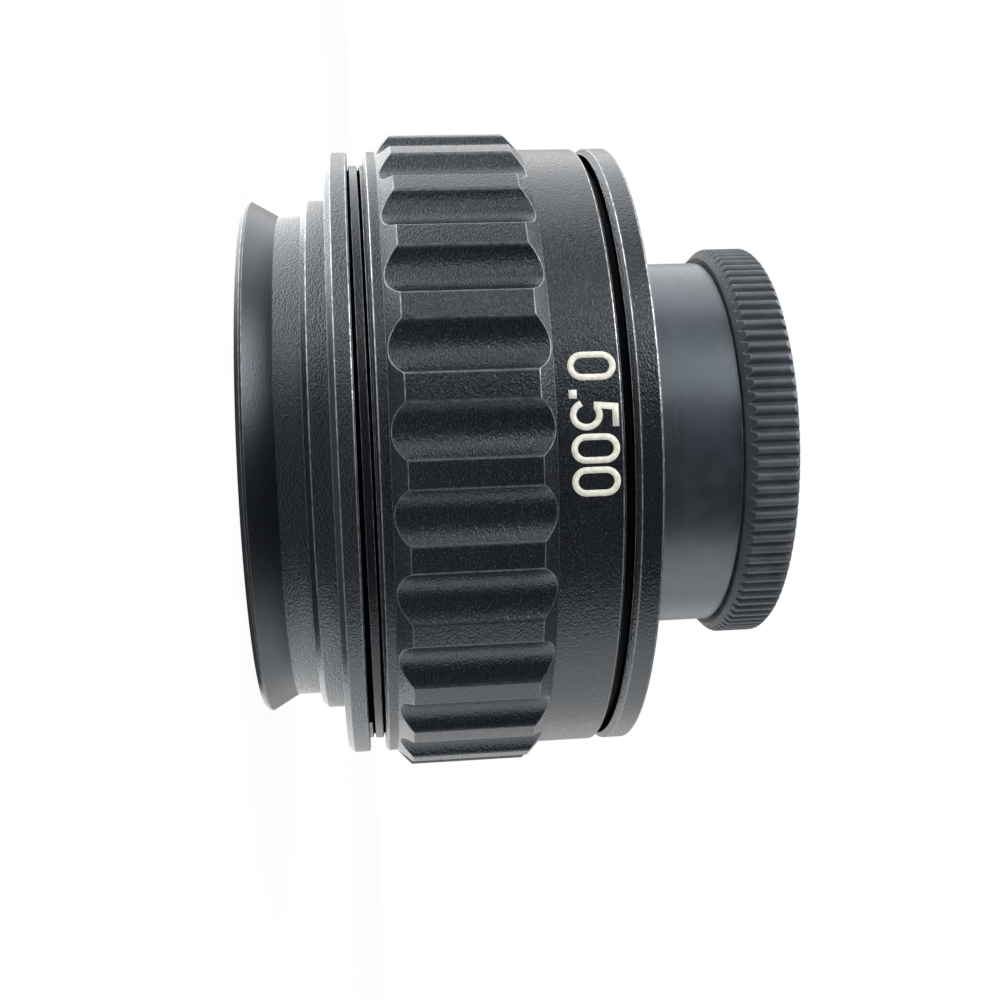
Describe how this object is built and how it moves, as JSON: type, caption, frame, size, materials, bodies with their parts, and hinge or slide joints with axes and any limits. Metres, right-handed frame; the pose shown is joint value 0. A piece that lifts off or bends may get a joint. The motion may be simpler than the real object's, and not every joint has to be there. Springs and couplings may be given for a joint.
{
  "type": "c-mount adapter",
  "caption": "Focusable microscope camera adapter: dovetail spigot below, fluted focusing sleeve, reducing lens inside, threaded camera barrel under a ridged dust cap.",
  "frame": {"origin": "on the optical axis, at the end face of the dovetail spigot that the adapter stands on", "axes": "+Z along the optical axis towards the camera; +X and +Y across it"},
  "size_m": [0.047, 0.047, 0.0374],
  "materials": {
    "blasted_anodised": "black anodised, bead blasted",
    "smooth_anodised": "black anodised, smooth satin",
    "inner_anodised": "matt black anodised",
    "cap_plastic": "matt black moulded plastic",
    "washer_plastic": "black acetal",
    "screw_steel": "black oxide",
    "coated_glass": "polished, anti-reflection coated"
  },
  "bodies": {
    "base": {"dovetail_base": "blasted_anodised", "guide_screw_1": "screw_steel", "guide_screw_2": "screw_steel", "guide_screw_3": "screw_steel"},
    "camera_tube": {"slide_tube": "blasted_anodised", "c_mount_barrel": "smooth_anodised", "sleeve_retainer": "inner_anodised", "upper_thrust_washer": "washer_plastic", "lower_thrust_washer": "washer_plastic", "aperture_stop": "inner_anodised", "lens_cell": "inner_anodised", "crown_lens": "coated_glass", "flint_lens": "coated_glass", "lens_spacer": "inner_anodised", "meniscus_lens": "coated_glass", "lens_retainer": "inner_anodised", "field_lens": "coated_glass", "field_lens_retainer": "inner_anodised"},
    "sleeve": {"focus_sleeve": "blasted_anodised"},
    "cap": {"dust_cap": "cap_plastic"}
  },
  "joints": [
    {"name": "focus_travel", "type": "slide", "parent": "base", "child": "camera_tube", "axis": [0, 0, 1], "range_m": [-0.001, 0.002]},
    {"name": "focus_turn", "type": "hinge", "parent": "camera_tube", "child": "sleeve", "pos_m": [0, 0, 0.0162], "axis": [0, 0, 1], "range_deg": [-480.1, 960.1]},
    {"name": "cap_off", "type": "slide", "parent": "camera_tube", "child": "cap", "axis": [0, 0, 1], "range_m": [0, 0.008]}
  ],
  "couplings": [
    {"joint": "focus_turn", "follows": "focus_travel", "rad_per_m": 8377.6}
  ]
}
